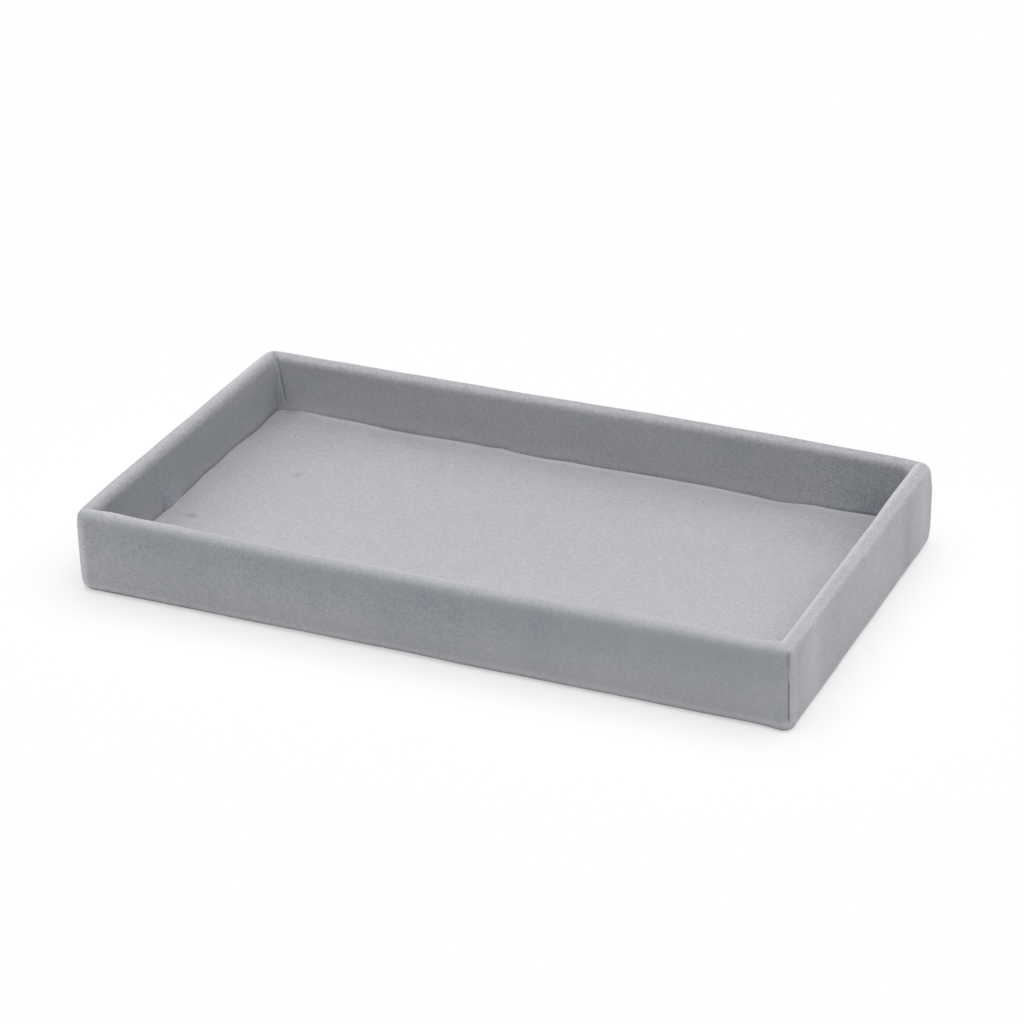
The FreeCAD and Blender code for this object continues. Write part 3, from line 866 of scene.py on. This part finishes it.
def pile_group():
    """Short pile: ground and tip colours mixed by nap and painted light, mottle and grain, with its
    height.
    """
    group, given, outlet = new_group(
        "velvet_pile",
        {"Place": "Vector", "Nap and light": "Float", "Ground": "Color", "Tip": "Color", "Grain": "Float",
         "Mottle": "Float"},
        {"Color": "Color", "Height": "Float"})
    grain = noise(group, given["Place"], GRAIN_SCALE, 3.0, 0.65)
    tuft = noise(group, given["Place"], TUFT_SCALE, 2.0, 0.6)
    cloud = noise(group, given["Place"], CLOUD_SCALE, 3.0, 0.6)
    grain_swing = about_zero(group, grain, given["Grain"])
    tuft_swing = about_zero(group, tuft, given["Grain"])
    cloud_swing = about_zero(group, cloud, given["Mottle"])
    level = math_node(group, "ADD", given["Nap and light"], 0.5)
    level = math_node(group, "ADD", level, grain_swing)
    level = math_node(group, "MULTIPLY_ADD", tuft_swing, 0.35, level)
    level = math_node(group, "ADD", level, cloud_swing)
    feed_all(group, outlet, {
        "Color": mix_colours(group, level, given["Ground"], given["Tip"], clamp_factor=True),
        "Height": math_node(group, "MULTIPLY_ADD", tuft, 0.8, grain),
    })
    return group


def fibre_group():
    """Pressed fibre: two colours in flecks and clouds, with its height."""
    group, given, outlet = new_group(
        "pressed_fibre",
        {"Place": "Vector", "Dark": "Color", "Light": "Color", "Fleck size": "Float"},
        {"Color": "Color", "Height": "Float"})
    fleck = noise(group, given["Place"], given["Fleck size"], 4.0, 0.7)
    cloud = noise(group, given["Place"], FIBRE_CLOUD_SCALE, 2.0, 0.5)
    level = math_node(group, "MULTIPLY_ADD", fleck, 0.7, math_node(group, "MULTIPLY", cloud, 0.3))
    feed_all(group, outlet, {
        "Color": mix_colours(group, level, given["Dark"], given["Light"], clamp_factor=True),
        "Height": fleck,
    })
    return group


PILE = pile_group()
FIBRE = fibre_group()


def bare_material(name):
    material = bpy.data.materials.new(name)
    material.use_nodes = True
    tree = material.node_tree
    shader = next(n for n in tree.nodes if n.type == "BSDF_PRINCIPLED")
    place = add_node(tree, "ShaderNodeTexCoord").outputs["Object"]
    return material, tree, shader, place


def rough_up(tree, shader, height, strength, distance):
    """Bump the surface by a height."""
    bump = add_node(tree, "ShaderNodeBump")
    feed_all(tree, bump, {"Height": height, "Strength": strength, "Distance": distance})
    tree.links.new(bump.outputs["Normal"], shader.inputs["Normal"])


def pile_layer(tree, name):
    """A layer of pile and painted light left on the piece."""
    return add_node(tree, "ShaderNodeAttribute", attribute_name=name).outputs["Fac"]


def velvet(name, ground, tip, grain, mottle, sheen, bump):
    """Short pile cloth, brushed and with painted light and shade as its piece says."""
    material, tree, shader, place = bare_material(name)
    pile = add_node(tree, "ShaderNodeGroup", node_tree=PILE)
    feed_all(tree, pile, {
        "Place": place,
        "Nap and light": pile_layer(tree, "nap"),
        "Ground": (*ground, 1.0),
        "Tip": (*tip, 1.0),
        "Grain": math_node(tree, "MULTIPLY", pile_layer(tree, "coarse"), grain),
        "Mottle": mottle,
    })
    feed_all(tree, shader, {
        "Base Color": mix_colours(tree, pile_layer(tree, "cool"), pile.outputs["Color"], SHADE_TINT_CAST,
                                  blend_type="MULTIPLY", clamp_factor=False),
        "Roughness": 0.95,
        "Specular IOR Level": 0.12,
        "Sheen Weight": sheen,
        "Sheen Roughness": 0.35,
        "Sheen Tint": (0.86, 0.87, 0.90, 1.0),
    })
    rough_up(tree, shader, pile.outputs["Height"], bump, 0.25 * MM)
    return material


def pressed_board(name, dark, light, fleck_size, roughness):
    """Fibreboard or card, with flecks."""
    material, tree, shader, place = bare_material(name)
    fibre = add_node(tree, "ShaderNodeGroup", node_tree=FIBRE)
    feed_all(tree, fibre, {
        "Place": place,
        "Dark": (*dark, 1.0),
        "Light": (*light, 1.0),
        "Fleck size": fleck_size,
    })
    feed_all(tree, shader, {"Base Color": fibre.outputs["Color"], "Roughness": roughness})
    rough_up(tree, shader, fibre.outputs["Height"], 0.25, 0.15 * MM)
    return material


def drawn_wire(name):
    """Bright pin wire with fine draw marks along it."""
    material, tree, shader, place = bare_material(name)
    marks = noise(tree, place, DRAW_MARK_SCALE, 3.0, 0.6)
    feed_all(tree, shader, {
        "Base Color": (0.55, 0.55, 0.56, 1.0),
        "Metallic": 1.0,
        "Roughness": math_node(tree, "MULTIPLY_ADD", marks, 0.25, 0.22),
    })
    return material


WALL_VELVET = velvet("wall_velvet", ground=(0.166, 0.205, 0.243), tip=(0.728, 0.707, 0.728),
                     grain=0.82, mottle=0.03, sheen=0.60, bump=0.16)
FLOOR_VELVET = velvet("floor_velvet", ground=(0.200, 0.200, 0.232), tip=(0.715, 0.708, 0.728),
                      grain=0.60, mottle=0.03, sheen=0.60, bump=0.16)
LINER_FLOCK = velvet("liner_flock", ground=(0.25, 0.255, 0.28), tip=(0.42, 0.42, 0.45),
                     grain=0.35, mottle=0.25, sheen=0.15, bump=0.25)
BOARD = pressed_board("bare_fibreboard", dark=(0.30, 0.19, 0.10), light=(0.55, 0.40, 0.25),
                      fleck_size=900.0, roughness=0.85)
CARD = pressed_board("grey_card", dark=(0.26, 0.25, 0.225), light=(0.46, 0.44, 0.41),
                     fleck_size=1400.0, roughness=0.9)
PIN_WIRE = drawn_wire("pin_wire")


def wear(piece, material):
    piece.data.materials.clear()
    piece.data.materials.append(material)


for name in ("base_board", "front_rail", "rear_rail", "left_rail", "right_rail"):
    wear(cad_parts[name], BOARD)
for name in ("corner_pins", "base_pins"):
    wear(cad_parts[name], PIN_WIRE)
wear(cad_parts["pad_card"], CARD)

# What each piece stands for

for side_name, strip in STRIPS.items():
    wear(strip.piece, WALL_VELVET)
    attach(strip.piece, "root")
    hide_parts(side_name + "_velvet")

wear(pad_velvet, FLOOR_VELVET)
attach(pad_velvet, "root")
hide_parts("pad_velvet")

wear(liner, LINER_FLOCK)
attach(liner, "root")
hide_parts("bottom_liner")


# Camera, fitted to the tray's edges

CAMERA_AZIMUTH = math.radians(22.447)
CAMERA_ELEVATION = math.radians(25.814)
CAMERA_ROLL = math.radians(0.289)
CAMERA_DISTANCE = 1.115425
CAMERA_TARGET = Vector((-0.003060, 0.009304, 0.012))
FOCAL_PIXELS = 3926.771
PICTURE_PIXELS = 1024

lens = bpy.data.cameras.new("photo_camera")
lens.sensor_width = 36.0
lens.lens = FOCAL_PIXELS * lens.sensor_width / PICTURE_PIXELS
lens.clip_start, lens.clip_end = 0.05, 50.0
camera = bpy.data.objects.new("photo_camera", lens)
bpy.context.scene.collection.objects.link(camera)
back = Vector((math.sin(CAMERA_AZIMUTH) * math.cos(CAMERA_ELEVATION),
               -math.cos(CAMERA_AZIMUTH) * math.cos(CAMERA_ELEVATION),
               math.sin(CAMERA_ELEVATION)))
level_right = Vector((0.0, 0.0, 1.0)).cross(back).normalized()
level_up = back.cross(level_right)
right = math.cos(CAMERA_ROLL) * level_right + math.sin(CAMERA_ROLL) * level_up
upward = -math.sin(CAMERA_ROLL) * level_right + math.cos(CAMERA_ROLL) * level_up
turned = Matrix((right, upward, back)).transposed().to_4x4()
camera.matrix_world = Matrix.Translation(CAMERA_TARGET + back * CAMERA_DISTANCE) @ turned
bpy.context.scene.camera = camera


# Light, floor and background

SUN_STRENGTH = 2.85
SUN_SPREAD = 85
SUN_FROM = Vector((0.08, 0.03, 1.0))
AMBIENT = 0.15

# The floor's paint as it lights the tray and as it is seen, and the white that is added when seen
FLOOR_PAINT = 0.90
FLOOR_SEEN = 0.45
FLOOR_LIFT = 0.525
FLOOR_SIZE = 10.0

sun = bpy.data.lights.new("soft_overhead_light", "SUN")
sun.energy = SUN_STRENGTH
sun.angle = math.radians(SUN_SPREAD)
sun_object = bpy.data.objects.new("soft_overhead_light", sun)
bpy.context.scene.collection.objects.link(sun_object)
sun_object.rotation_euler = SUN_FROM.to_track_quat("Z", "Y").to_euler()

nothing_selected()
bpy.ops.mesh.primitive_plane_add(size=FLOOR_SIZE, location=(0.0, 0.0, -GROUND_GAP))
studio_floor = bpy.context.object
studio_floor.name = studio_floor.data.name = "studio_floor"


def seen_ray(tree):
    """1 for what the camera sees, also in a mirror or through glass."""
    path = add_node(tree, "ShaderNodeLightPath")
    seen = math_node(tree, "MAXIMUM", path.outputs["Is Camera Ray"], path.outputs["Is Glossy Ray"])
    return math_node(tree, "MAXIMUM", seen, path.outputs["Is Transmission Ray"])


floor_material = bpy.data.materials.new("white_floor")
floor_material.use_nodes = True
tree = floor_material.node_tree
tree.nodes.clear()
seen = seen_ray(tree)
paint = add_node(tree, "ShaderNodeBsdfDiffuse")
paint_level = math_node(tree, "MULTIPLY_ADD", seen, FLOOR_SEEN - FLOOR_PAINT, FLOOR_PAINT)
tree.links.new(paint_level, paint.inputs["Color"])
glow = add_node(tree, "ShaderNodeEmission")
tree.links.new(math_node(tree, "MULTIPLY", seen, FLOOR_LIFT), glow.inputs["Strength"])
both = add_node(tree, "ShaderNodeAddShader")
tree.links.new(paint.outputs[0], both.inputs[0])
tree.links.new(glow.outputs[0], both.inputs[1])
surface = add_node(tree, "ShaderNodeOutputMaterial")
tree.links.new(both.outputs[0], surface.inputs["Surface"])
studio_floor.data.materials.append(floor_material)

world = bpy.data.worlds.new("studio")
bpy.context.scene.world = world
world.use_nodes = True
tree = world.node_tree
background = next(n for n in tree.nodes if n.type == "BACKGROUND")
feed_all(tree, background, {
    "Color": (1.0, 1.0, 1.0, 1.0),
    "Strength": math_node(tree, "MULTIPLY_ADD", seen_ray(tree), 1.0 - AMBIENT, AMBIENT),
})

bpy.context.scene.view_settings.view_transform = "Standard"
